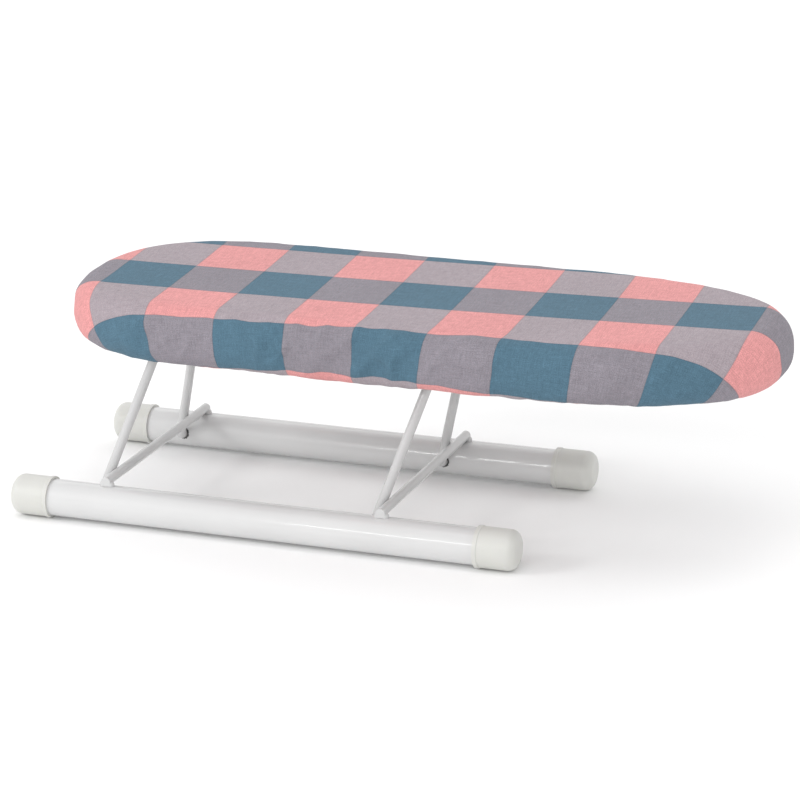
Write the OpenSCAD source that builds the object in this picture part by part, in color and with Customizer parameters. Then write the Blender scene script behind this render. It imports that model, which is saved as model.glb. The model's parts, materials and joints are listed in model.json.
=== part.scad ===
// Table-top sleeve ironing board: a padded board on two wire leg frames that
// fold down onto a ladder-shaped base of two foot tubes and two crossbars.
// Millimetres. X runs along the board, Y across it, Z up. The origin lies on
// the table under the middle of the whole part.

/* [Board] */
// Length of the covered board
board_len = 492; // [420:1:560]
// Width of the covered board
board_wid = 195; // [180:1:210]
// Thickness of the covered board at its edge
board_thk = 40; // [38:1:46]
// Height of the ironing surface above the table
top_h = 158; // [150:1:190]
// Length of the rounding at the blunt left end
left_end_len = 122; // [100:1:140]
// Length of the rounding at the long right end
right_end_len = 181; // [150:1:200]
// Fullness of the rounded ends, 2 is an ellipse
end_fullness = 2.55; // [2:0.05:3]
// Radius of the padded top edge
top_edge_r = 18; // [14:1:20]
// Radius of the covered bottom edge
low_edge_r = 11; // [8:1:12]

/* [Cover and pad] */
// Thickness of the cotton cover
cover_t = 1.2; // [0.8:0.1:1.5]
// Thickness of the foam pad on the ironing surface
foam_t = 8; // [6:0.5:10]
// How far the cover turns in under the rim of the board
hem_in = 26; // [24:1:34]

/* [Deck] */
// Thickness of the sheet steel
sheet_t = 1.2; // [0.8:0.1:1.6]
// Distance from the outside of the cover to the rim of the deck
rim_inset = 6.5; // [6:0.5:8]
// Pitch of the steam holes
hole_pitch = 30; // [26:1:40]
// Diameter of one steam hole
hole_d = 7; // [4:0.5:8]

/* [Base] */
// Length of the base over its end caps
base_len = 360; // [320:1:400]
// Distance between the axes of the two foot tubes
foot_spacing = 168; // [162:1:176]
// Outer diameter of a foot tube
tube_d = 25; // [24:0.5:26]
// Wall of a foot tube
tube_wall = 1.2; // [1:0.1:1.5]
// Outer diameter of an end cap
cap_d = 28.4; // [28:0.2:30]
// Length of an end cap
cap_len = 28; // [24:1:32]
// How far the base reaches out past the left end of the board
base_out = 22; // [0:1:40]
// Distance from the left end of the base to the left crossbar
crossbar_in = 68; // [60:1:80]
// Distance between the two crossbars
crossbar_pitch = 197; // [180:1:205]

/* [Legs] */
// Diameter of the wire of the legs and crossbars
wire_d = 6.5; // [6:0.1:7]
// Lean of the open legs from upright, in degrees
leg_lean = 17.2; // [12:0.1:20]
// Gap between a leg and the crossbar that it leans on
stop_gap = 0.3; // [0.2:0.1:0.5]
// Half width of a leg frame at its top, between wire axes
leg_top_half = 29.5; // [26:0.5:34]
// Height of the upper pivot above the bottom of the board
pivot_up = 5; // [4:0.5:6]
// Radius of the bend into the foot tube, at the wire axis
foot_bend_r = 5; // [4.5:0.5:5.5]
// Radius of the bend into the top bar, at the wire axis
top_bend_r = 9; // [7:0.5:10]
// Radial running clearance of a wire in its hole or clip
run_fit = 0.1; // [0.05:0.01:0.1]
// Radial clearance in the clips of the right leg
open_fit = 0.3; // [0.3:0.05:0.4]

/* [Hidden] */
$fn = 64;

// Places along X
total_len = base_out + board_len;
base_x0 = -total_len / 2;
base_x1 = base_x0 + base_len;
board_x0 = base_x0 + base_out;
board_x1 = board_x0 + board_len;
left_bar_x = base_x0 + crossbar_in;
right_bar_x = left_bar_x + crossbar_pitch;

// Heights
tube_z = cap_d / 2;
bar_z = tube_z + (tube_d + wire_d) / 2;
board_z0 = top_h - board_thk;
pivot_z = board_z0 + pivot_up;
plate_z1 = top_h - cover_t - foam_t;
plate_z0 = plate_z1 - sheet_t;

// Base
foot_y = foot_spacing / 2;
bar_over = 2.5;
cap_floor = 5;
cap_round = 6.5;
cap_seat = 0.05;
cap_rim_len = 3;
cap_rim_step = 0.45;
cap_arc_steps = 12;
weld_r = 2.6;

// Legs: the pivot lies this far to the left of the crossbar axis
foot_pivot_dx = (wire_d + stop_gap) / cos(leg_lean) + (bar_z - tube_z) * tan(leg_lean);
leg_h = (pivot_z - tube_z) / cos(leg_lean);
top_pivot_dx = leg_h * sin(leg_lean) - foot_pivot_dx;
bend_gap = 0.3;
foot_pin_y = foot_y - tube_d / 2 - bend_gap;
leg_pin_len = 7.5;
// Corner of the outline and splay of the upright, by two passes at the splay angle
splay_guess = atan((foot_pin_y - foot_bend_r * 0.72 - leg_top_half) / leg_h);
leg_foot_half = foot_pin_y - foot_bend_r * tan((90 - splay_guess) / 2);
splay = atan((leg_foot_half - leg_top_half) / leg_h);
foot_tan = foot_bend_r * tan((90 - splay) / 2);
top_tan = top_bend_r * tan((90 - splay) / 2);
// Straight wire reaches this far into a bend, whose wire is a hair thicker
lap = 0.3;
bend_swell = 0.04;

// Clips and braces
clip_y = 13;
clip_len = 12;
clip_wall = 2.6;
clip_slot = 5.4;
ear_len = 9;
ear_t = 2.4;
clip_top = wire_d / 2 + clip_wall;
screw_d = 3.2;
screw_fit = 0.1;
screw_head_d = 6.2;
screw_head_h = 2;
screw_dx = wire_d / 2 + clip_wall + ear_len / 2;
brace_t = 1.5;
brace_web = 40;
brace_flange = 11;
brace_len = 130;
brace_z0 = pivot_z + clip_top;
rivet_d = 3.4;
rivet_head_d = 6.4;
rivet_head_h = 1.2;
rivet_y = 52;

// Board layers
skirt_z0 = board_z0 + 4;
foam_low = board_z0 + 15;
foam_gap = 0.1;
elastic_w = 6;
elastic_t = 1.6;
elastic_gap = 0.1;
outline_steps = 20;
arc_steps = 6;

// One rounded end: points from the half-way side to the other side, as a
// quarter pair of a superellipse with half axes a and b
function end_points(x, a, b, side) = [
    for (i = [0:2 * outline_steps])
        let (t = -90 + 90 * i / outline_steps, c = cos(t), s = sin(t))
        [
            x + side * a * pow(abs(c), 2 / end_fullness),
            side * b * sign(s) * pow(abs(s), 2 / end_fullness)
        ]
];

// True where a steam hole lies well inside the flat of the deck
function on_deck(x, y, margin) =
    let (
        b = board_wid / 2 - margin,
        right_x = board_x1 - right_end_len,
        left_x = board_x0 + left_end_len,
        u = x > right_x ? (x - right_x) / (right_end_len - margin)
            : x < left_x ? (left_x - x) / (left_end_len - margin) : 0
    )
    pow(u, end_fullness) + pow(abs(y) / b, end_fullness) < 1;

// Quarter arc of a section, as pairs of inset and height
function arc(inset, z, r, from, to) = [
    for (i = [0:arc_steps])
        let (t = from + (to - from) * i / arc_steps)
        [inset - r * cos(t), z + r * sin(t)]
];

// Outline points at one inset
function outline_points(inset) =
    let (b = board_wid / 2 - inset)
    concat(
        end_points(board_x1 - right_end_len, right_end_len - inset, b, 1),
        end_points(board_x0 + left_end_len, left_end_len - inset, b, -1)
    );

// Outline of the board, drawn in by a distance all round
module outline(inset = 0) {
    polygon(outline_points(inset));
}

// Closed solid whose section goes from its top face, down its outside and
// back up its inside; each pair of the section is one ring round the board
module lofted(section) {
    count = len(outline_points(0));
    points = [
        for (pair = section)
            for (p = outline_points(pair[0])) [p[0], p[1], pair[1]]
    ];
    last = (len(section) - 1) * count;
    sides = [
        for (ring = [0:len(section) - 2], i = [0:count - 1])
            let (a = ring * count + i, b = ring * count + (i + 1) % count)
            for (face = [[a, b, a + count], [b, b + count, a + count]]) face
    ];
    polyhedron(
        points = points,
        faces = concat(
            [[for (i = [count - 1:-1:0]) i]],
            sides,
            [[for (i = [0:count - 1]) last + i]]
        )
    );
}

// Upright ring with the board outline
module band(inset, width, z0, height) {
    translate([0, 0, z0])
        linear_extrude(height)
            difference() {
                outline(inset);
                outline(inset + width);
            }
}

// Cylinder along X from one place to another
module x_rod(d, x0, x1, y, z) {
    translate([x0, y, z]) rotate([0, 90, 0]) cylinder(h = x1 - x0, d = d);
}

// Cylinder along Y from one place to another
module y_rod(d, y0, y1, x, z) {
    translate([x, y0, z]) rotate([-90, 0, 0]) cylinder(h = y1 - y0, d = d);
}

// Places of the four pivot holes: crossbar place by side
function foot_pivot_x(bar_x) = bar_x - foot_pivot_dx;
function top_pivot_x(bar_x) = bar_x + top_pivot_dx;

// Foot tube with two pivot holes in its inner wall
module foot_tube(side) {
    inner = side * (foot_y - tube_d / 2 - 1);
    axis = side * foot_y;
    difference() {
        x_rod(tube_d, base_x0 + cap_floor + cap_seat, base_x1 - cap_floor - cap_seat, axis, tube_z);
        x_rod(tube_d - 2 * tube_wall, base_x0, base_x1, axis, tube_z);
        for (bar_x = [left_bar_x, right_bar_x])
            y_rod(wire_d + 2 * run_fit, min(inner, axis), max(inner, axis), foot_pivot_x(bar_x), tube_z);
    }
}

// Moulded end cap, closed end at x and mouth towards side
module end_cap(x, side, y) {
    r = cap_d / 2;
    socket = tube_d / 2 + cap_seat;
    round_end = [
        for (i = [0:cap_arc_steps])
            let (t = 90 * i / cap_arc_steps)
            [r - cap_rim_step - cap_round * (1 - sin(t)), cap_round * (1 - cos(t))]
    ];
    translate([x, y, tube_z])
        rotate([0, side * 90, 0])
            rotate_extrude()
                polygon(concat(
                    [[0, 0]],
                    round_end,
                    [
                        [r - cap_rim_step, cap_len - cap_rim_len],
                        [r, cap_len - cap_rim_len + cap_rim_step],
                        [r, cap_len],
                        [socket, cap_len],
                        [socket, cap_floor],
                        [0, cap_floor]
                    ]
                ));
}

// Straight wire that joins the tops of both foot tubes
module crossbar(bar_x) {
    y_rod(wire_d, -foot_y - bar_over, foot_y + bar_over, bar_x, bar_z);
}

// Four weld beads, on both sides of a crossbar where it lies on a tube
module crossbar_welds(bar_x) {
    for (side = [-1, 1], lean = [-1, 1])
        difference() {
            translate([bar_x + lean * weld_r, side * foot_y, bar_z - wire_d / 2 + weld_r / 3])
                sphere(r = weld_r, $fn = 32);
            crossbar(bar_x);
            x_rod(tube_d, base_x0, base_x1, side * foot_y, tube_z);
        }
}

// Straight wire from one point to another in the plane of a leg, lapped into
// the bends at its ends
module leg_straight(from, to) {
    run = to - from;
    translate([from[0], from[1], 0])
        rotate([0, 0, atan2(run[1], run[0])])
            translate([-lap, 0, 0])
                rotate([0, 90, 0]) cylinder(h = norm(run) + 2 * lap, d = wire_d);
}

// Bent wire in the plane of a leg, turning from one direction by an angle
module leg_bend(centre, r, from, turn) {
    translate([centre[0], centre[1], 0])
        rotate([0, 0, from])
            rotate_extrude(angle = turn) translate([r, 0]) circle(d = wire_d + bend_swell);
}

// Half of a leg frame in its own plane: X is across, Y runs up the leg
module half_leg_wire() {
    rise = [-sin(splay), cos(splay)];
    pin_start = leg_foot_half + foot_tan;
    foot_end = [leg_foot_half, 0] + foot_tan * rise;
    top_end = [leg_top_half, leg_h] - top_tan * rise;
    leg_straight([pin_start, 0], [pin_start + leg_pin_len, 0]);
    leg_bend([pin_start, foot_bend_r], foot_bend_r, 180 + splay, 90 - splay);
    leg_straight(foot_end, top_end);
    leg_bend([leg_top_half - top_tan, leg_h - top_bend_r], top_bend_r, splay, 90 - splay);
}

// Wire leg frame of one bent piece, leaning against its crossbar
module leg_frame(bar_x) {
    bar_half = leg_top_half - top_tan;
    translate([foot_pivot_x(bar_x), 0, tube_z])
        rotate([0, leg_lean, 0])
            rotate([90, 0, 90]) {
                half_leg_wire();
                mirror([1, 0, 0]) half_leg_wire();
                leg_straight([-bar_half, leg_h], [bar_half, leg_h]);
            }
}

// Moulded clip: a round seat for the top bar, open below, with two ears
module pivot_clip(bar_x, side, fit) {
    body_w = wire_d + 2 * clip_wall;
    translate([top_pivot_x(bar_x), side * clip_y, pivot_z])
        difference() {
            union() {
                y_rod(body_w, -clip_len / 2, clip_len / 2, 0, 0);
                translate([-body_w / 2, -clip_len / 2, 0]) cube([body_w, clip_len, clip_top]);
                translate([-body_w / 2 - ear_len, -clip_len / 2, clip_top - ear_t])
                    cube([body_w + 2 * ear_len, clip_len, ear_t]);
            }
            y_rod(wire_d + 2 * fit, -clip_len, clip_len, 0, 0);
            translate([-clip_slot / 2, -clip_len, -body_w])
                cube([clip_slot, 2 * clip_len, body_w]);
            for (lean = [-1, 1])
                translate([lean * screw_dx, 0, 0])
                    cylinder(h = 2 * clip_top, d = screw_d + 2 * screw_fit, $fn = 32);
        }
}

// Pan head screws that hold the two clips of one leg to its brace
module clip_screws(bar_x) {
    for (side = [-1, 1], lean = [-1, 1])
        translate([top_pivot_x(bar_x) + lean * screw_dx, side * clip_y, brace_z0 - ear_t])
            difference() {
                union() {
                    cylinder(h = ear_t + brace_t + 2.5, d = screw_d, $fn = 32);
                    translate([0, 0, -screw_head_h])
                        cylinder(h = screw_head_h, d1 = screw_head_d - 1.6, d2 = screw_head_d, $fn = 32);
                }
                for (turn = [0, 90])
                    rotate([0, 0, turn])
                        translate([-2, -0.45, -screw_head_h - 0.1]) cube([4, 0.9, 1.2]);
            }
}

// Hat-shaped steel brace under the deck, riveted through its flanges
module brace(bar_x) {
    x = top_pivot_x(bar_x);
    half = brace_web / 2;
    profile = [
        [-half - brace_flange, plate_z0 - brace_t], [-half - brace_flange, plate_z0],
        [-half + brace_t, plate_z0], [-half + brace_t, brace_z0 + brace_t],
        [half - brace_t, brace_z0 + brace_t], [half - brace_t, plate_z0],
        [half + brace_flange, plate_z0], [half + brace_flange, plate_z0 - brace_t],
        [half, plate_z0 - brace_t], [half, brace_z0],
        [-half, brace_z0], [-half, plate_z0 - brace_t]
    ];
    difference() {
        translate([x, brace_len / 2, 0])
            rotate([90, 0, 0]) linear_extrude(brace_len) polygon(profile);
        for (side = [-1, 1], lean = [-1, 1]) {
            translate([x + lean * screw_dx, side * clip_y, brace_z0 - 1])
                cylinder(h = brace_t + 2, d = screw_d + screw_fit, $fn = 32);
            translate([x + lean * (half + brace_flange / 2), side * rivet_y, plate_z0 - 5])
                cylinder(h = 10, d = rivet_d + screw_fit, $fn = 32);
        }
    }
}

// Domed rivets that join one brace to the deck
module brace_rivets(bar_x) {
    dome_r = (pow(rivet_head_d / 2, 2) + pow(rivet_head_h, 2)) / (2 * rivet_head_h);
    for (side = [-1, 1], lean = [-1, 1])
        translate([
            top_pivot_x(bar_x) + lean * (brace_web + brace_flange) / 2,
            side * rivet_y,
            plate_z0 - brace_t
        ]) {
            cylinder(h = brace_t + sheet_t, d = rivet_d, $fn = 32);
            rotate_extrude($fn = 32)
                intersection() {
                    translate([0, dome_r - rivet_head_h]) circle(r = dome_r, $fn = 96);
                    translate([0, -rivet_head_h]) square([rivet_head_d / 2, rivet_head_h]);
                }
        }
}

// Pressed steel deck: a plate with steam holes and a turned-down rim
module deck_panel() {
    columns = floor(board_len / hole_pitch);
    clear = brace_web / 2 + brace_flange + hole_d;
    color("gainsboro")
        difference() {
            union() {
                translate([0, 0, plate_z0]) linear_extrude(sheet_t) outline(rim_inset);
                band(rim_inset, sheet_t, skirt_z0, plate_z0 - skirt_z0);
            }
            for (i = [0:columns], j = [-3:3]) {
                x = board_x0 + hole_pitch * (i + (abs(j) % 2) / 2);
                y = j * hole_pitch * 0.75;
                to_left = abs(x - top_pivot_x(left_bar_x));
                to_right = abs(x - top_pivot_x(right_bar_x));
                if (on_deck(x, y, 24) && min(to_left, to_right) > clear)
                    translate([x, y, plate_z0 - 1])
                        cylinder(h = sheet_t + 2, d = hole_d, $fn = 24);
            }
            for (bar_x = [left_bar_x, right_bar_x], side = [-1, 1], lean = [-1, 1])
                translate([
                    top_pivot_x(bar_x) + lean * (brace_web + brace_flange) / 2,
                    side * rivet_y,
                    plate_z0 - 1
                ])
                    cylinder(h = sheet_t + 2, d = rivet_d + screw_fit, $fn = 32);
        }
}

// Foam pad on the deck, rolled down over its edge
module foam_pad() {
    skin = cover_t + foam_gap;
    section = concat(
        arc(top_edge_r, top_h - top_edge_r, top_edge_r - skin, 90, 0),
        [
            [skin, foam_low],
            [rim_inset - foam_gap, foam_low],
            [rim_inset - foam_gap, plate_z1]
        ]
    );
    color("khaki") lofted(section);
}

// Cotton cover pulled over the pad and turned in under the rim
module cover() {
    section = concat(
        arc(top_edge_r, top_h - top_edge_r, top_edge_r, 90, 0),
        arc(low_edge_r, board_z0 + low_edge_r, low_edge_r, 0, -90),
        [[hem_in, board_z0], [hem_in, board_z0 + cover_t]],
        arc(low_edge_r, board_z0 + low_edge_r, low_edge_r - cover_t, -90, 0),
        arc(top_edge_r, top_h - top_edge_r, top_edge_r - cover_t, 0, 90)
    );
    color("lightcoral") lofted(section);
}

// Flat elastic that draws the hem of the cover in under the rim
module hem_elastic() {
    color("white")
        band(hem_in - elastic_w, elastic_w, board_z0 + cover_t + elastic_gap, elastic_t);
}

module front_foot_tube() { color("white") foot_tube(-1); }
module rear_foot_tube() { color("white") foot_tube(1); }
module front_left_cap() { color("ivory") end_cap(base_x0, 1, -foot_y); }
module front_right_cap() { color("ivory") end_cap(base_x1, -1, -foot_y); }
module rear_left_cap() { color("ivory") end_cap(base_x0, 1, foot_y); }
module rear_right_cap() { color("ivory") end_cap(base_x1, -1, foot_y); }
module left_crossbar() { color("whitesmoke") crossbar(left_bar_x); }
module right_crossbar() { color("whitesmoke") crossbar(right_bar_x); }
module left_crossbar_welds() { color("whitesmoke") crossbar_welds(left_bar_x); }
module right_crossbar_welds() { color("whitesmoke") crossbar_welds(right_bar_x); }
module left_leg_frame() { color("whitesmoke") leg_frame(left_bar_x); }
module right_leg_frame() { color("whitesmoke") leg_frame(right_bar_x); }
module left_front_clip() { color("dimgray") pivot_clip(left_bar_x, -1, run_fit); }
module left_rear_clip() { color("dimgray") pivot_clip(left_bar_x, 1, run_fit); }
module right_front_clip() { color("dimgray") pivot_clip(right_bar_x, -1, open_fit); }
module right_rear_clip() { color("dimgray") pivot_clip(right_bar_x, 1, open_fit); }
module left_clip_screws() { color("silver") clip_screws(left_bar_x); }
module right_clip_screws() { color("silver") clip_screws(right_bar_x); }
module left_brace() { color("gainsboro") brace(left_bar_x); }
module right_brace() { color("gainsboro") brace(right_bar_x); }
module left_brace_rivets() { color("silver") brace_rivets(left_bar_x); }
module right_brace_rivets() { color("silver") brace_rivets(right_bar_x); }

front_foot_tube();
rear_foot_tube();
front_left_cap();
front_right_cap();
rear_left_cap();
rear_right_cap();
left_crossbar();
right_crossbar();
left_crossbar_welds();
right_crossbar_welds();
left_leg_frame();
right_leg_frame();
left_front_clip();
left_rear_clip();
right_front_clip();
right_rear_clip();
left_clip_screws();
right_clip_screws();
left_brace();
right_brace();
left_brace_rivets();
right_brace_rivets();
deck_panel();
foam_pad();
cover();
hem_elastic();
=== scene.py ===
"""Looks of the table-top ironing board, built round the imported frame. Metres."""

import json
import math

import bmesh
import bpy
from mathutils import Matrix, Vector, noise

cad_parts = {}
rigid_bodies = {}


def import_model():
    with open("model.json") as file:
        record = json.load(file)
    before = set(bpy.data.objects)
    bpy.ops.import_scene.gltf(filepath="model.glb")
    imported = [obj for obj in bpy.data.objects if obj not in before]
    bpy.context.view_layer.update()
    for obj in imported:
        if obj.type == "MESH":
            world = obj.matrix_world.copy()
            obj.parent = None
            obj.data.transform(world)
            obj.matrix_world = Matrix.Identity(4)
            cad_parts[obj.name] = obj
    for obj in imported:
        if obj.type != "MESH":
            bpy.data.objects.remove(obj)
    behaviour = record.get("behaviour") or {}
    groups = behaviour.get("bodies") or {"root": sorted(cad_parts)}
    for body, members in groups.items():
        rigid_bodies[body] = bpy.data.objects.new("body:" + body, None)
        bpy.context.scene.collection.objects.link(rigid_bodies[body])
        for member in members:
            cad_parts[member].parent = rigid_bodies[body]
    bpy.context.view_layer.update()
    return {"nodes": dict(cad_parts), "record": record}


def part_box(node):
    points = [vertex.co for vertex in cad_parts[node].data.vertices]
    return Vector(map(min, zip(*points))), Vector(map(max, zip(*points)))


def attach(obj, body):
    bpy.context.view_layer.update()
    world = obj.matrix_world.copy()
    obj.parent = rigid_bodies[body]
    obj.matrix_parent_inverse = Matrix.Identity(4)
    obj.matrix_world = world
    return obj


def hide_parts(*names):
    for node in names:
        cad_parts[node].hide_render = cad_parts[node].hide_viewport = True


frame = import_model()

MM = 0.001


# ---------------------------------------------------------------- camera

CAMERA_AZIMUTH = 20.2
CAMERA_ELEVATION = 17.72
CAMERA_ROLL = -0.50
CAMERA_DISTANCE = 2.384
CAMERA_LENS = 159.3
CAMERA_SENSOR = 36.0
CAMERA_TARGET = Vector((-0.0092, 0.0, 0.0801))


def add_camera():
    """The camera at the photograph's viewing angle."""
    az = math.radians(CAMERA_AZIMUTH)
    el = math.radians(CAMERA_ELEVATION)
    back = Vector((math.sin(az) * math.cos(el), -math.cos(az) * math.cos(el), math.sin(el)))
    level = Vector((math.cos(az), math.sin(az), 0.0))
    roll = Matrix.Rotation(math.radians(CAMERA_ROLL), 3, back)
    right = roll @ level
    up = back.cross(right)
    data = bpy.data.cameras.new("camera")
    data.lens = CAMERA_LENS
    data.sensor_width = CAMERA_SENSOR
    data.clip_end = 50.0
    camera = bpy.data.objects.new("camera", data)
    bpy.context.scene.collection.objects.link(camera)
    place = CAMERA_TARGET + CAMERA_DISTANCE * back
    turn = Matrix((right, up, back)).transposed().to_4x4()
    camera.matrix_world = Matrix.Translation(place) @ turn
    bpy.context.scene.camera = camera


# ---------------------------------------------------------------- stage

def add_light(name, size, energy, place, aim):
    """A soft rectangular lamp at place, aimed at a point."""
    data = bpy.data.lights.new(name, "AREA")
    data.shape = "RECTANGLE"
    data.size, data.size_y = size
    data.energy = energy
    lamp = bpy.data.objects.new(name, data)
    bpy.context.scene.collection.objects.link(lamp)
    lamp.location = place
    lamp.rotation_euler = (Vector(aim) - Vector(place)).to_track_quat("-Z", "Y").to_euler()


FLOOR_HALF = 20.0
FLOOR_WHITE = (0.96, 0.96, 0.96, 1)
SURROUND = 0.86


def add_floor():
    """A plain pale floor that runs out of sight."""
    h = FLOOR_HALF
    mesh = bpy.data.meshes.new("floor")
    mesh.from_pydata([(-h, -h, 0), (h, -h, 0), (h, h, 0), (-h, h, 0)], [], [(0, 1, 2, 3)])
    floor = bpy.data.objects.new("floor", mesh)
    bpy.context.scene.collection.objects.link(floor)
    paint = bpy.data.materials.new("floor_paint")
    paint.use_nodes = True
    shader = paint.node_tree.nodes["Principled BSDF"]
    shader.inputs["Base Color"].default_value = FLOOR_WHITE
    shader.inputs["Roughness"].default_value = 0.9
    shader.inputs["Specular IOR Level"].default_value = 0.1
    mesh.materials.append(paint)


def add_surround():
    """Even white light from all sides, and the soft lamps."""
    world = bpy.data.worlds.new("surround")
    world.use_nodes = True
    sky = world.node_tree.nodes["Background"]
    sky.inputs["Color"].default_value = (1.0, 1.0, 1.0, 1)
    sky.inputs["Strength"].default_value = SURROUND
    bpy.context.scene.world = world

    centre = (0.0, 0.0, 0.08)
    behind = (0.2, 2.4, 0.0)
    add_light("overhead_lamp", (1.2, 0.9), 3.5, (0.1, -0.3, 1.7), centre)
    add_light("front_lamp", (0.6, 0.5), 12.0, (-1.6, -1.3, 1.1), centre)
    add_light("floor_lamp", (6.0, 2.0), 26.0, (0.2, 2.4, 2.0), behind)
    add_light("strip_lamp", (1.8, 0.07), 6.5, (0.1, -1.8, 0.8), centre)
    add_light("side_lamp", (0.8, 0.8), 1.5, (1.7, -0.6, 0.8), centre)
    bpy.context.scene.view_settings.view_transform = "Standard"
    bpy.context.scene.view_settings.look = "None"


# ---------------------------------------------------------------- materials

class Graph:
    """Short hand for a node material: nodes, links and common patterns."""

    def __init__(self, name):
        self.material = bpy.data.materials.new(name)
        self.material.use_nodes = True
        self.tree = self.material.node_tree
        self.shader = self.tree.nodes["Principled BSDF"]

    def node(self, kind, settings=None, **inputs):
        """A new node with settings as attributes and inputs by socket name, _ standing for a space."""
        made = self.tree.nodes.new(kind)
        for key, value in (settings or {}).items():
            setattr(made, key, value)
        for key, value in inputs.items():
            self.put(made.inputs[key.replace("_", " ")], value)
        return made

    def put(self, socket, value):
        """Links an output to a socket, or sets its fixed value."""
        if isinstance(value, bpy.types.NodeSocket):
            self.tree.links.new(value, socket)
        else:
            socket.default_value = value

    def math(self, operation, a, b=0.0):
        """One sum or function of one or two values."""
        made = self.tree.nodes.new("ShaderNodeMath")
        made.operation = operation
        for socket, value in zip(made.inputs, (a, b)):
            self.put(socket, value)
        return made.outputs[0]

    def mix(self, share, a, b, blend="MIX"):
        """Colour a blended towards b by share."""
        made = self.tree.nodes.new("ShaderNodeMix")
        made.data_type = "RGBA"
        made.blend_type = blend
        self.put(made.inputs["Factor"], share)
        self.put(made.inputs["A"], a)
        self.put(made.inputs["B"], b)
        return made.outputs["Result"]

    def stretch(self, vector, scale):
        """Coordinates scaled per axis."""
        made = self.tree.nodes.new("ShaderNodeMapping")
        self.put(made.inputs["Vector"], vector)
        made.inputs["Scale"].default_value = scale
        return made.outputs[0]

    def noise(self, vector, scale, detail=2.0, roughness=0.5):
        """Procedural noise, about 0 to 1."""
        made = self.node("ShaderNodeTexNoise", Scale=scale, Detail=detail, Roughness=roughness)
        self.put(made.inputs["Vector"], vector)
        return made.outputs["Fac"]

    def ramp(self, value, low, high, out_low=0.0, out_high=1.0):
        """Carries low..high over to out_low..out_high and holds it there."""
        made = self.tree.nodes.new("ShaderNodeMapRange")
        self.put(made.inputs["Value"], value)
        for key, number in zip(
            ("From Min", "From Max", "To Min", "To Max"), (low, high, out_low, out_high)
        ):
            self.put(made.inputs[key], number)
        return made.outputs[0]

    def place(self):
        """Coordinates fixed to the piece."""
        return self.tree.nodes.new("ShaderNodeTexCoord").outputs["Object"]

    def bump(self, height, strength, distance):
        """Relief on the surface from a height value."""
        made = self.node("ShaderNodeBump", Strength=strength, Distance=distance)
        self.put(made.inputs["Height"], height)
        self.put(self.shader.inputs["Normal"], made.outputs[0])

    def finish(self, color, **fixed):
        """Sets the base colour and the other shader values, and gives the material back."""
        self.put(self.shader.inputs["Base Color"], color)
        for key, value in fixed.items():
            self.put(self.shader.inputs[key.replace("_", " ")], value)
        return self.material


def gray(value, warm=0.0):
    """A near-neutral colour, warmer in red and cooler in blue by warm."""
    return (value + warm, value, value - warm, 1.0)


def rim_grease_and_shadow(g, place):
    """1 in a ragged ring round each pivot hole in the inner tube walls: bare, greasy steel together with
    painted shadow of the gap where the wire enters the tube.
    """
    split = g.node("ShaderNodeSeparateXYZ")
    g.put(split.inputs[0], place)
    inside = g.math("LESS_THAN", g.math("ABSOLUTE", split.outputs[1]), FOOT_LINE)
    ragged = g.ramp(g.noise(place, 700.0, 2.0), 0.3, 0.7, -RIM_RAGGED, RIM_RAGGED)
    rings = 0.0
    for joint in frame["record"]["behaviour"]["joints"]:
        if joint["parent"] != "base":
            continue
        x, _, z = joint["pos_m"]
        across = g.math("POWER", g.math("SUBTRACT", split.outputs[0], x), 2.0)
        up = g.math("POWER", g.math("SUBTRACT", split.outputs[2], z), 2.0)
        far = g.math("ADD", g.math("SQRT", g.math("ADD", across, up)), ragged)
        rings = g.math("MAXIMUM", rings, g.ramp(far, RIM_OUTER, RIM_OUTER - 0.4 * MM))
    return g.math("MULTIPLY", rings, inside)


def painted(name, color, roughness, wear=0.05, greasy_shaded_rims=False):
    """Enamel on steel: faint orange peel, uneven thickness and dust."""
    g = Graph(name)
    place = g.place()
    cloud = g.noise(place, 18.0, 3.0)
    dust = g.noise(place, 420.0, 2.0, 0.7)
    tone = g.mix(g.ramp(cloud, 0.35, 0.75), color, tuple(c * (1 - wear) for c in color[:3]) + (1,))
    specks = g.ramp(dust, 0.72, 0.80, 0.0, 0.10)
    tone = g.mix(specks, tone, gray(0.45))
    if greasy_shaded_rims:
        # Near-black ring at each pivot hole: greasy bare steel and painted shadow of the gap between wire
        # and tube.
        tone = g.mix(rim_grease_and_shadow(g, place), tone, gray(0.045))
    peel = g.noise(place, 900.0, 1.0)
    g.bump(peel, 0.06, 0.0002)
    rough = g.ramp(cloud, 0.3, 0.8, roughness * 0.8, roughness * 1.25)
    return g.finish(tone, Roughness=rough, Specular_IOR_Level=0.4, Coat_Weight=0.8, Coat_Roughness=0.09)


def moulded(name, color, roughness, soft=0.0):
    """Injection-moulded plastic: fine spark texture and slight blotches."""
    g = Graph(name)
    place = g.place()
    cloud = g.noise(place, 45.0, 3.0)
    grain = g.noise(place, 1600.0, 2.0)
    tone = g.mix(g.ramp(cloud, 0.3, 0.8), color, tuple(c * 0.95 for c in color[:3]) + (1,))
    g.bump(grain, 0.15, 0.0002)
    rough = g.ramp(grain, 0.2, 0.8, roughness * 0.85, roughness * 1.15)
    return g.finish(
        tone,
        Roughness=rough,
        Subsurface_Weight=soft,
        Subsurface_Radius=(0.004, 0.004, 0.003),
        Subsurface_Scale=0.5,
    )


def plated(name, color, roughness):
    """Zinc plate: brushed metal with cloudy passivation."""
    g = Graph(name)
    place = g.place()
    cloud = g.noise(place, 120.0, 4.0, 0.6)
    tone = g.mix(g.ramp(cloud, 0.35, 0.7), color, (color[0] * 0.8, color[1] * 0.8, color[2] * 0.75, 1))
    scratch = g.noise(g.stretch(place, (1.0, 9.0, 9.0)), 600.0, 2.0)
    g.bump(scratch, 0.2, 0.0001)
    rough = g.ramp(cloud, 0.3, 0.7, roughness, roughness * 1.4)
    return g.finish(tone, Roughness=rough, Metallic=1.0)


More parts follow.
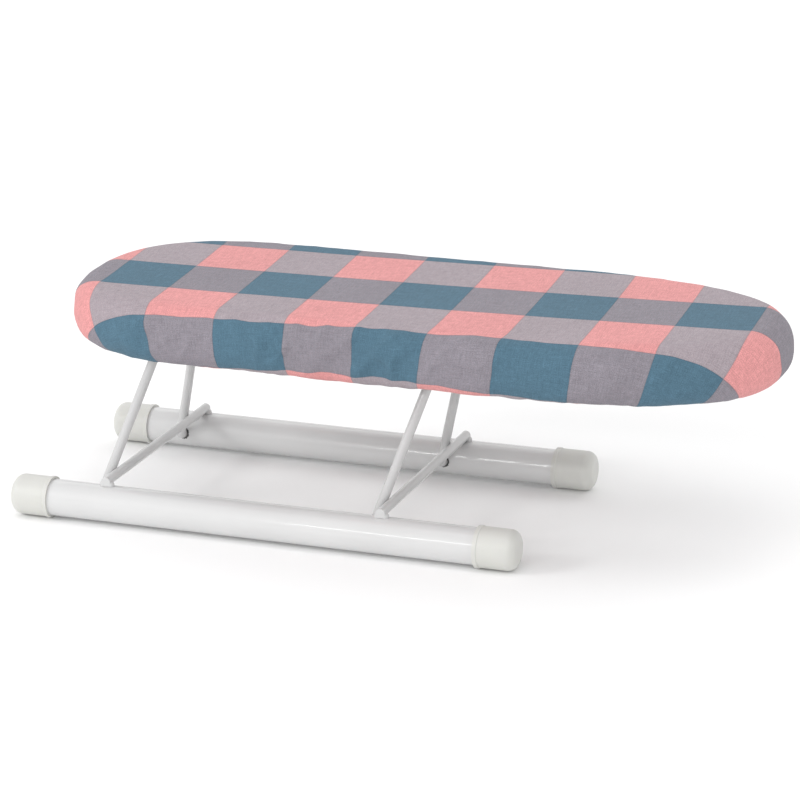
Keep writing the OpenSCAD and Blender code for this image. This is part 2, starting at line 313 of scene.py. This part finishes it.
def foam(name):
    """Open-cell foam: cells as pits in a pale cream, with painted shade darkening the pits."""
    g = Graph(name)
    place = g.place()
    cells = g.node("ShaderNodeTexVoronoi", Scale=900.0)
    g.put(cells.inputs["Vector"], place)
    depth = cells.outputs["Distance"]
    # Pits darker than the cream: painted shade in the cell hollows.
    tone = g.mix(g.ramp(depth, 0.1, 0.6), FOAM_PIT_SHADE, FOAM_CREAM)
    g.bump(depth, 0.6, 0.0006)
    return g.finish(tone, Roughness=0.95, Sheen_Weight=0.1)


FOOT_LINE = 84 * MM
RIM_OUTER = 4.7 * MM
RIM_RAGGED = 0.5 * MM
PLAID = 50 * MM
THREAD = 0.52 * MM
PINK = (0.68, 0.298, 0.296, 1)
TEAL = (0.084, 0.160, 0.218, 1)
PALE_MAUVE = (0.345, 0.325, 0.350, 1)
DEEP_MAUVE = (0.210, 0.228, 0.258, 1)
THREADS_SHOW = 0.22
BORDER_DARK = 0.84
# Colour of the foam pits: painted shade in the cell hollows.
FOAM_PIT_SHADE = (0.62, 0.53, 0.33, 1)
FOAM_CREAM = (0.84, 0.77, 0.58, 1)
# Thread colours: the shaded and lit sides of one thread, painted.
THREAD_IN_SHADE = (0.35, 0.27, 0.31, 1)
THREAD_IN_LIGHT = (0.52, 0.42, 0.46, 1)
RIB = 1.2 * MM


def parity(g, value):
    """0 in even whole steps of value and 1 in odd ones."""
    return g.math("MODULO", g.math("ADD", g.math("FLOOR", value), 100.0), 2.0)


def border(g, value):
    """Distance to the nearest border between two bands of the check."""
    part = g.math("FRACT", g.math("DIVIDE", g.math("ADD", value, 100 * PLAID), PLAID))
    return g.math("MULTIPLY", g.math("MINIMUM", part, g.math("SUBTRACT", 1.0, part)), PLAID)


def woven_check(name):
    """Cotton with a woven check: columns of warp and rows of weft, in the coordinates of the flat cut."""
    g = Graph(name)
    flat = g.node("ShaderNodeAttribute", {"attribute_name": "flat_cut"}).outputs["Vector"]
    split = g.node("ShaderNodeSeparateXYZ")
    g.put(split.inputs[0], flat)
    along, across = split.outputs[0], split.outputs[1]
    warp_pink = parity(g, g.math("DIVIDE", along, PLAID))
    weft_pink = parity(g, g.math("DIVIDE", across, PLAID))
    both = g.math("MULTIPLY", warp_pink, weft_pink)
    either = g.math("MAXIMUM", warp_pink, weft_pink)

    warp_wave = g.math("SINE", g.math("MULTIPLY", along, math.pi / THREAD))
    weft_wave = g.math("SINE", g.math("MULTIPLY", across, math.pi / THREAD))
    over = g.math("MULTIPLY", warp_wave, weft_wave)
    warp_on_top = g.ramp(over, -0.3, 0.3)

    mauve = g.mix(weft_pink, DEEP_MAUVE, PALE_MAUVE)
    cell = g.mix(either, TEAL, g.mix(both, mauve, PINK))
    thread_pink = g.math(
        "ADD",
        g.math("MULTIPLY", warp_on_top, warp_pink),
        g.math("MULTIPLY", g.math("SUBTRACT", 1.0, warp_on_top), weft_pink),
    )
    thread = g.mix(thread_pink, TEAL, PINK)
    mixed = g.math("MULTIPLY", g.math("SUBTRACT", either, both), THREADS_SHOW)
    tone = g.mix(mixed, cell, thread)

    slub_warp = g.noise(g.stretch(flat, (1.0, 0.05, 1.0)), 1500.0, 2.0, 0.6)
    slub_weft = g.noise(g.stretch(flat, (0.05, 1.0, 1.0)), 1500.0, 2.0, 0.6)
    slub = g.math("ADD", slub_warp, slub_weft)
    mottle = g.noise(flat, 260.0, 4.0, 0.65)
    shade = g.math(
        "MULTIPLY",
        g.ramp(slub, 0.7, 1.3, 0.86, 1.14),
        g.ramp(mottle, 0.3, 0.7, 0.92, 1.08),
    )
    wash = g.ramp(g.noise(flat, 14.0, 2.0), 0.3, 0.7, 0.97, 1.03)
    heather = g.ramp(g.noise(flat, 1300.0, 1.0), 0.3, 0.7, 0.85, 1.15)
    shade = g.math("MULTIPLY", g.math("MULTIPLY", shade, wash), heather)
    edge = g.math("MINIMUM", border(g, along), border(g, across))
    shade = g.math("MULTIPLY", shade, g.ramp(edge, 0.2 * MM, 0.7 * MM, BORDER_DARK, 1.0))
    level = g.node("ShaderNodeCombineColor")
    for socket in level.inputs[:3]:
        g.put(socket, shade)
    tone = g.mix(1.0, tone, level.outputs[0], "MULTIPLY")

    relief = g.math("ADD", g.math("MULTIPLY", g.math("ABSOLUTE", over), 0.7), slub)
    g.bump(relief, 0.35, 0.0003)
    return g.finish(
        tone,
        Roughness=0.88,
        Sheen_Weight=0.06,
        Sheen_Roughness=0.45,
        Specular_IOR_Level=0.15,
    )


def braid(name):
    """Flat braided elastic: fine chevrons in off-white, with painted shade in the grooves between the
    ribs.
    """
    g = Graph(name)
    flat = g.node("ShaderNodeAttribute", {"attribute_name": "flat_cut"}).outputs["Vector"]
    split = g.node("ShaderNodeSeparateXYZ")
    g.put(split.inputs[0], flat)
    slant = g.math("ADD", split.outputs[0], g.math("ABSOLUTE", split.outputs[1]))
    rib = g.math("SINE", g.math("MULTIPLY", slant, math.tau / RIB))
    # The darker gray follows the low side of the ribs: painted shade in the grooves.
    tone = g.mix(g.ramp(rib, -0.6, 0.6), gray(0.55, 0.01), gray(0.78, 0.01))
    g.bump(rib, 0.4, 0.0003)
    return g.finish(tone, Roughness=0.8, Sheen_Weight=0.2)


def thread(name):
    """Twisted sewing thread: painted shade in the grooves of the twist, painted light on its ridges."""
    g = Graph(name)
    twist = g.node("ShaderNodeTexWave", Scale=900.0, Distortion=2.0)
    g.put(twist.inputs["Vector"], g.place())
    # Dark and pale copies of one thread colour, following the twist's relief: painted shade and painted
    # light.
    tone = g.mix(twist.outputs["Fac"], THREAD_IN_SHADE, THREAD_IN_LIGHT)
    g.bump(twist.outputs["Fac"], 0.5, 0.0002)
    return g.finish(tone, Roughness=0.7, Sheen_Weight=0.3)


# ---------------------------------------------------------------- board shape

BLUNT_END = 122 * MM
NOSE_END = 181 * MM
FULLNESS = 2.55
TOP_EDGE = 18 * MM
LOW_EDGE = 15 * MM
HEM_IN = 26 * MM
STITCH_IN = 17.5 * MM
CASING = 1.9 * MM
CLOTH = 0.7 * MM
CASING_END = 2.5 * MM
ELASTIC_LOW = 1.3 * MM
ELASTIC_HIGH = 2.5 * MM
ELASTIC_INNER = HEM_IN - 0.6 * MM
ELASTIC_OUTER = STITCH_IN + 3.2 * MM
ELASTIC_ROUND = 0.3 * MM
FOAM_SKIN = 1.9 * MM
FOAM_LOW = 15 * MM
FOAM_RIM = 6.4 * MM
HAIR = 0.02 * MM
STITCH_PITCH = 3.4 * MM
STITCH_RADIUS = 0.24 * MM
STITCH_PATH = ((0.0, 0.25), (0.2, -0.12), (0.5, -0.22), (0.8, -0.12), (1.0, 0.25))

BOARD_LOW, BOARD_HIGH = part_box("cover")
HALF_WIDTH = BOARD_HIGH.y
OUTLINE_STEPS = 6000
NORMAL_REACH = 6
AROUND = 720
TOP_RINGS = 14
FOAM_AROUND = 200


def outline_point(t, inset):
    """A point of the board's outline, drawn in by inset; t is an angle that goes once round."""
    c, s = math.cos(t), math.sin(t)
    nose = c >= 0
    length = NOSE_END if nose else BLUNT_END
    centre = BOARD_HIGH.x - NOSE_END if nose else BOARD_LOW.x + BLUNT_END
    power = 2 / FULLNESS
    x = centre + math.copysign(abs(c) ** power, c) * (length - inset)
    y = math.copysign(abs(s) ** power, s) * (HALF_WIDTH - inset)
    return Vector((x, y))


def even_outline(count):
    """Angles at equal steps of length round the outline, with the length up to each, from the nose."""
    fine = OUTLINE_STEPS
    dense = [outline_point(math.tau * i / fine, TOP_EDGE) for i in range(fine + 1)]
    run = [0.0]
    for a, b in zip(dense, dense[1:]):
        run.append(run[-1] + (b - a).length)
    places, i = [], 0
    for k in range(count):
        want = run[-1] * k / count
        while run[i + 1] < want:
            i += 1
        share = (want - run[i]) / max(run[i + 1] - run[i], 1e-12)
        places.append((i + share) / fine)
    return places, run[-1], dense


class Station:
    """One place round the outline: its crease point, outward normal and length from the nose."""

    def __init__(self, place, run, dense):
        fine = len(dense) - 1
        x = place * fine
        i = min(int(x), fine - 1)
        self.crease = dense[i].lerp(dense[i + 1], x - i)
        ahead = outline_blend(dense, x + NORMAL_REACH) - outline_blend(dense, x - NORMAL_REACH)
        self.normal = Vector((ahead.y, -ahead.x)).normalized()
        self.run = run


def outline_blend(dense, x):
    """The dense outline at a fractional, wrapped index."""
    fine = len(dense) - 1
    x %= fine
    i = int(x)
    return dense[i].lerp(dense[(i + 1) % fine], x - i)


def stations(count):
    """The stations at equal steps round the outline."""
    places, total, dense = even_outline(count)
    return [Station(p, total * k / count, dense) for k, p in enumerate(places)]


def section_arc(inset, z, radius, start, end, steps):
    """A quarter of the section as (inset, height) pairs, by angles in degrees, without its first point."""
    angles = [math.radians(start + (end - start) * i / steps) for i in range(1, steps + 1)]
    return [(inset - radius * math.cos(a), z + radius * math.sin(a)) for a in angles]


def section_line(a, b, steps):
    """A straight stretch of the section from a to b, without its first point."""
    return [
        (a[0] + (b[0] - a[0]) * i / steps, a[1] + (b[1] - a[1]) * i / steps)
        for i in range(1, steps + 1)
    ]


def cover_section():
    """The cover's section from the crease down, round the low edge and along the turned-in lip."""
    z0, z1 = BOARD_LOW.z, BOARD_HIGH.z
    pairs = [(TOP_EDGE, z1)]
    pairs += section_arc(TOP_EDGE, z1 - TOP_EDGE, TOP_EDGE, 90, 0, 11)
    pairs += section_line(pairs[-1], (0.0, z0 + LOW_EDGE), 5)
    pairs += section_arc(LOW_EDGE, z0 + LOW_EDGE, LOW_EDGE, 0, -90, 9)
    pairs += section_line(pairs[-1], (STITCH_IN, z0), 3)
    return pairs + section_line(pairs[-1], (HEM_IN, z0), 5)


def casing_section():
    """The hem casing turned back over the elastic, as steps from the end of the lip."""
    z0 = BOARD_LOW.z
    centre = (HEM_IN, z0 + CASING)
    pairs = []
    for i in range(1, 7):
        a = math.radians(-90 + 180 * i / 6)
        pairs.append((centre[0] + CASING * math.cos(a), centre[1] + CASING * math.sin(a)))
    pairs += section_line(pairs[-1], (STITCH_IN + CASING_END, z0 + 2 * CASING), 3)
    return pairs + section_line(pairs[-1], (STITCH_IN + 0.2 * MM, z0 + 0.9 * MM), 3)


# ---------------------------------------------------------------- folds

UPPER_FOLD = 3.4 * MM
LOWER_FOLD = 2.9 * MM
RIDGE = 1.6 * MM
FINE_CREASE = 0.9 * MM
LOOSE = 0.5 * MM
DEEPEST_FOLD = 0.4 * MM
LIP_DROP = 0.45 * MM
SAG = 0.35 * MM
STRAIGHT_FROM = 0.80
STRAIGHT_SPAN = 0.19


def wave(run, cell, seed):
    """Smooth seeded noise along the outline, about -1 to 1."""
    return 1.8 * noise.noise(Vector((run / cell, seed, seed * 0.37)))


def hump(x, centre, width):
    """A smooth bump of height 1."""
    return math.exp(-(((x - centre) / width) ** 2))


def straightness(post):
    """1 along the straight sides and 0 round the ends."""
    return min(1.0, max(0.0, (abs(post.normal.y) - STRAIGHT_FROM) / STRAIGHT_SPAN))


def fade(x, start, end):
    """0 up to start, 1 from end, smooth between."""
    t = min(1.0, max(0.0, (x - start) / (end - start)))
    return t * t * (3 - 2 * t)


def rumple(post, depth):
    """The loose folds where the cloth was not pulled tight, half way along the front."""
    if post.normal.y > 0:
        return 0.0
    x = post.crease.x
    near_top = hump(x, 30 * MM, 65 * MM) * hump(depth, 13 * MM, 7 * MM)
    near_lip = hump(x, 12 * MM, 75 * MM) * hump(depth, 41 * MM, 10 * MM)
    upper = UPPER_FOLD * (0.45 + wave(post.run, 30 * MM, 8.3))
    lower = LOWER_FOLD * (0.5 + wave(post.run - depth * 0.6, 26 * MM, 6.1))
    return near_top * upper + near_lip * lower


def crinkle(post, depth):
    """Sharp little creases in the side of the cloth, leaning one way."""
    front = 1.4 * hump(post.crease.x, -10 * MM, 110 * MM) if post.normal.y < 0 else 0.0
    coarse = Vector(((post.run + 0.5 * depth) / (23 * MM), depth / (26 * MM), 2.7))
    fine = Vector(((post.run - 0.6 * depth) / (11 * MM), depth / (15 * MM), 9.1))
    creases = RIDGE * (0.45 - abs(2.4 * noise.noise(coarse))) + FINE_CREASE * noise.noise(fine)
    held = (0.25 + 0.75 * straightness(post)) * (1.0 - 0.65 * fade(depth, 32 * MM, 48 * MM))
    return held * creases * (1.0 + front)


def gathers(post, depth):
    """The puckers of the turned-in lip: round bulges with sharp creases drawn up between them."""
    curl = 1.0 - straightness(post)
    drawn = 0.35 + 0.65 * fade(depth, 56 * MM, 71 * MM)
    wide = 1.0 - min(1.0, 1.3 * abs(wave(post.run, 12.5 * MM, 1.3)))
    narrow = 1.0 - min(1.0, 1.3 * abs(wave(post.run, 6.8 * MM, 4.4)))
    return LIP_DROP - drawn * MM * ((1.9 + 1.3 * curl) * wide + (0.9 + 0.5 * curl) * narrow)


def slack(post, depth):
    """How far the cloth stands off its form at a depth below the crease along the section."""
    side = fade(depth, 0.0, 22 * MM)
    lip = fade(depth, 46 * MM, 61 * MM)
    billow = 0.45 * MM * wave(post.run, 62 * MM, 3.1) + 0.25 * MM * wave(post.run, 26 * MM, 7.7)
    drift = 0.30 * MM * wave(post.run + depth * 1.4, 17 * MM, 2.2)
    folds = side * (billow + drift + crinkle(post, depth) + LOOSE) + rumple(post, depth)
    return (1.0 - lip) * max(folds, -DEEPEST_FOLD) + lip * gathers(post, depth)


def crown(p):
    """The slight sag of the top between the tighter places of the cloth."""
    return -SAG * abs(noise.noise(Vector((p.x / (80 * MM), p.y / (50 * MM), 4.0))))


# ---------------------------------------------------------------- cover sheet

RIDGE_FROM_BLUNT = 0.72
RIDGE_FROM_NOSE = 0.58


class Cover:
    """The cover's rings of points, from the ridge of the top to the turned-back hem."""

    def __init__(self, around, top_rings):
        self.posts = stations(around)
        self.section = cover_section()
        self.casing = casing_section()
        self.top_rings = top_rings
        self.depths = [0.0]
        whole = self.section + self.casing
        for a, b in zip(whole, whole[1:]):
            self.depths.append(self.depths[-1] + math.dist(a, b))

    def top_point(self, post, share):
        """A point of the top at a share of the way from the ridge to the crease."""
        low = BOARD_LOW.x + BLUNT_END * RIDGE_FROM_BLUNT
        high = BOARD_HIGH.x - NOSE_END * RIDGE_FROM_NOSE
        ridge = Vector((min(max(post.crease.x, low), high), 0.0))
        return ridge.lerp(post.crease, share)

    def side_point(self, post, i):
        """A point of ring i of the section or the casing, standing off by the slack."""
        last = len(self.section) - 1
        k = min(i, last)
        row = self.section[i] if i <= last else self.casing[i - last - 1]
        before, after = self.section[max(k - 1, 0)], self.section[min(k + 1, last)]
        if k == 0:
            before, after = (after[0] + 1.0, after[1]), row
        along = Vector((before[0] - after[0], after[1] - before[1])).normalized()
        out, lift = -along.y, along.x
        stand = slack(post, self.depths[k])
        p = post.crease + post.normal * (TOP_EDGE - row[0] + out * stand)
        return Vector((p.x, p.y, row[1] + lift * stand))

    def mesh(self, name):
        """The rings joined into one open sheet that knows its flat cut."""
        vertices, flat = [], []
        for k in range(self.top_rings):
            for post in self.posts:
                p = self.top_point(post, k / self.top_rings)
                vertices.append((p.x, p.y, BOARD_HIGH.z + crown(p)))
                flat.append(cut_place(p))
        for i, depth in enumerate(self.depths):
            for post in self.posts:
                vertices.append(self.side_point(post, i))
                flat.append(cut_place(post.crease + post.normal * depth, depth, post))
        rings = self.top_rings + len(self.depths)
        mesh = bpy.data.meshes.new(name)
        mesh.from_pydata(vertices, [], ring_faces(0, rings, len(self.posts)))
        lay_flat(mesh, flat)
        mesh.update()
        return mesh


CHECK_ALONG = 211.1 * MM
CHECK_ACROSS = 114.9 * MM
COLUMN_CLOSENESS = 1.01
COLUMN_LEAN = 0.0661
COLUMN_BOW = 0.122
ROW_LEAN = 0.0489
ROW_BOW = 0.081
ROW_CLOSENESS = 0.896
TUCK_DEPTH = 20 * MM
FRONT_TURN = 0.6


def sideways_pull(x):
    """How far the front of the cloth is drawn along the board for each unit of depth."""
    return -0.03 + 0.22 * hump(x, 60 * MM, 65 * MM) + 0.08 * fade(x, 50 * MM, 200 * MM)


def downward_pull(x, depth):
    """How much more cloth than its depth the front takes up: at the edge, and low down half way along."""
    upper = 0.52 - 0.40 * x - 4.6 * x * x
    lower = 0.74 * hump(x, -15 * MM, 115 * MM)
    return upper * min(depth, TUCK_DEPTH) + lower * max(0.0, depth - TUCK_DEPTH)


def cut_place(p, depth=0.0, post=None):
    """Where a point lies in the flat cut. The cloth sits a little skewed, and its front is pulled down."""
    along = COLUMN_CLOSENESS * (p.x + COLUMN_LEAN * p.y) + CHECK_ALONG + COLUMN_BOW * p.y ** 2
    across = -ROW_CLOSENESS * p.y + ROW_LEAN * p.x + CHECK_ACROSS + ROW_BOW * p.x ** 2
    if post:
        front = min(1.0, max(0.0, -post.normal.y / FRONT_TURN))
        along += front * depth * sideways_pull(post.crease.x)
        across += front * downward_pull(post.crease.x, depth)
    return Vector((along, across, 0.0))


def ring_faces(first, rings, count):
    """Faces that join rings of count points, the first ring starting at index first."""
    faces = []
    for k in range(rings - 1):
        a, b = first + k * count, first + (k + 1) * count
        for i in range(count):
            j = (i + 1) % count
            faces.append((a + i, b + i, b + j, a + j))
    return faces


def lay_flat(mesh, flat):
    """Stores where each point lies in the flat cut."""
    cut = mesh.attributes.new("flat_cut", "FLOAT_VECTOR", "POINT")
    for i, p in enumerate(flat):
        cut.data[i].vector = p


def add_piece(name, mesh, body, material):
    """A finished piece in the scene, riding a body."""
    piece = bpy.data.objects.new(name, mesh)
    bpy.context.scene.collection.objects.link(piece)
    mesh.materials.clear()
    mesh.materials.append(material)
    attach(piece, body)
    return piece


def weld(mesh, distance):
    """Joins points closer than distance, so the ring at the ridge closes into one seam."""
    work = bmesh.new()
    work.from_mesh(mesh)
    bmesh.ops.remove_doubles(work, verts=work.verts, dist=distance)
    bmesh.ops.dissolve_degenerate(work, dist=distance, edges=work.edges)
    work.to_mesh(mesh)
    work.free()
    mesh.update()


def add_cover(form):
    """The checked cotton cover with its gathered hem."""
    mesh = form.mesh("checked_cover")
    weld(mesh, HAIR)
    mesh.shade_smooth()
    cover = add_piece("checked_cover", mesh, "board", woven_check("woven_check"))
    shell = cover.modifiers.new("thickness", "SOLIDIFY")
    shell.thickness = CLOTH
    shell.offset = -1.0
    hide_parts("cover")
    return cover


def rod(vertices, faces, path, radius, sides):
    """Adds a closed rod that tapers to both ends along a path of points."""
    base = len(vertices)
    for k, p in enumerate(path):
        ahead = (path[min(k + 1, len(path) - 1)] - path[max(k - 1, 0)]).normalized()
        right = ahead.cross(Vector((0, 0, 1))).normalized()
        up = right.cross(ahead)
        r = radius * (0.45 if k in (0, len(path) - 1) else 1.0)
        for i in range(sides):
            a = math.tau * i / sides
            vertices.append(p + (right * math.cos(a) + up * math.sin(a)) * r)
    faces += ring_faces(base, len(path), sides)
    faces.append(tuple(base + i for i in range(sides)))
    end = base + (len(path) - 1) * sides
    faces.append(tuple(end + i for i in reversed(range(sides))))


def add_stitching(form):
    """The line of stitches that closes the hem casing, seen from below."""
    ring = form.section.index(min(form.section, key=lambda r: (abs(r[0] - STITCH_IN), r[1])))
    line = [form.side_point(post, ring) for post in form.posts]
    count = len(line)
    length = sum((line[(i + 1) % count] - line[i]).length for i in range(count))
    stitches = round(length / STITCH_PITCH)
    vertices, faces = [], []
    for k in range(stitches):
        path = []
        for share, dip in STITCH_PATH:
            x = count * (k + 0.14 + 0.72 * share) / stitches
            i = int(x)
            p = line[i % count].lerp(line[(i + 1) % count], x - i)
            path.append(Vector((p.x, p.y, p.z + dip * MM)))
        rod(vertices, faces, path, STITCH_RADIUS, 6)
    mesh = bpy.data.meshes.new("hem_stitching")
    mesh.from_pydata(vertices, [], faces)
    mesh.shade_smooth()
    return add_piece("hem_stitching", mesh, "board", thread("sewing_thread"))


def add_elastic(form):
    """The flat elastic drawn through the hem casing."""
    low, high = BOARD_LOW.z + ELASTIC_LOW, BOARD_LOW.z + ELASTIC_HIGH
    inner, outer = ELASTIC_INNER, ELASTIC_OUTER
    edge = (inner + ELASTIC_ROUND, (low + high) / 2)
    loop = [(outer, low), (inner, low), edge, (inner, high), (outer, high)]
    posts = form.posts
    vertices, faces, flat = [], [], []
    last = len(form.section) - 1
    for k, (inset, z) in enumerate(loop):
        for post in posts:
            p = post.crease + post.normal * (TOP_EDGE - inset)
            vertices.append((p.x, p.y, z - slack(post, form.depths[last])))
            flat.append(Vector((post.run, inset - (inner + outer) / 2, 0.0)))
    count = len(posts)
    for k in range(len(loop)):
        for i in range(count):
            j, m = (i + 1) % count, (k + 1) % len(loop)
            faces.append((k * count + i, k * count + j, m * count + j, m * count + i))
    mesh = bpy.data.meshes.new("elastic_braid")
    mesh.from_pydata(vertices, [], faces)
    lay_flat(mesh, flat)
    mesh.update()
    mesh.shade_smooth()
    band = add_piece("elastic_braid", mesh, "board", braid("braided_elastic"))
    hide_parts("hem_elastic")
    return band


def add_foam():
    """The foam pad under the cover."""
    z0, z1 = BOARD_LOW.z, BOARD_HIGH.z
    low, deck = z0 + FOAM_LOW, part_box("deck_panel")[1].z + HAIR
    pairs = [(TOP_EDGE, z1 - FOAM_SKIN)]
    pairs += section_arc(TOP_EDGE, z1 - TOP_EDGE, TOP_EDGE - FOAM_SKIN, 90, 0, 8)
    pairs += section_line(pairs[-1], (FOAM_SKIN, low), 4)
    pairs += section_line(pairs[-1], (FOAM_RIM, low), 2)
    pairs += section_line(pairs[-1], (FOAM_RIM, deck), 4)
    pairs += section_line(pairs[-1], (TOP_EDGE, deck), 2)
    mesh = board_solid("foam_filling", FOAM_AROUND, pairs)
    pad = add_piece("foam_filling", mesh, "board", foam("open_cell_foam"))
    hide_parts("foam_pad")
    return pad


def board_solid(name, around, section):
    """A closed board-shaped solid from a section that starts and ends at the crease inset."""
    posts = stations(around)
    vertices = []
    for inset, z in section:
        for post in posts:
            p = post.crease + post.normal * (TOP_EDGE - inset)
            vertices.append((p.x, p.y, z))
    count = len(posts)
    faces = ring_faces(0, len(section), count)
    faces.append(tuple(range(count)))
    faces.append(tuple(reversed(range((len(section) - 1) * count, len(section) * count))))
    mesh = bpy.data.meshes.new(name)
    mesh.from_pydata(vertices, [], faces)
    mesh.update()
    mesh.shade_smooth()
    return mesh


# ---------------------------------------------------------------- hard parts

CAP_WHITE = (0.635, 0.635, 0.605, 1)
NYLON_WHITE = (0.74, 0.74, 0.70, 1)
ZINC_GRAY = (0.62, 0.62, 0.64, 1)
EDGE_ROUND = 0.3 * MM
SHARP_ANGLE = math.radians(32)
ROUND_ANGLE = math.radians(40)


def dress_nodes():
    """Materials for the nodes whose CAD shape stays."""
    steel = painted("deck_enamel", gray(0.62), 0.40, 0.10)
    cap = moulded("cap_plastic", CAP_WHITE, 0.42, 0.15)
    clip = moulded("clip_nylon", NYLON_WHITE, 0.48, 0.10)
    by_slot = {
        "foot_tube": painted("white_enamel", gray(0.655), 0.36, greasy_shaded_rims=True),
        "wire": painted("wire_enamel", gray(0.595), 0.36),
        "deck_metal": steel,
        "end_cap": cap,
        "clip": clip,
        "screw": plated("zinc_plate", ZINC_GRAY, 0.32),
    }
    for row in frame["record"]["subparts"]:
        look = by_slot.get(row["material_slot"])
        if look:
            node = frame["nodes"][row["node"]]
            node.data.materials.clear()
            node.data.materials.append(look)
            soften(node, EDGE_ROUND if look in (cap, clip, steel) else 0.0)


def soften(node, width):
    """Smooth shading between real edges, and a small round on those edges."""
    node.data.shade_smooth()
    node.data.set_sharp_from_angle(angle=SHARP_ANGLE)
    if not width:
        return
    edge = node.modifiers.new("edge_round", "BEVEL")
    edge.width = width
    edge.segments = 2
    edge.limit_method = "ANGLE"
    edge.angle_limit = ROUND_ANGLE


add_camera()
add_floor()
add_surround()
dress_nodes()
form = Cover(AROUND, TOP_RINGS)
cover = add_cover(form)
add_stitching(form)
add_elastic(form)
pad = add_foam()
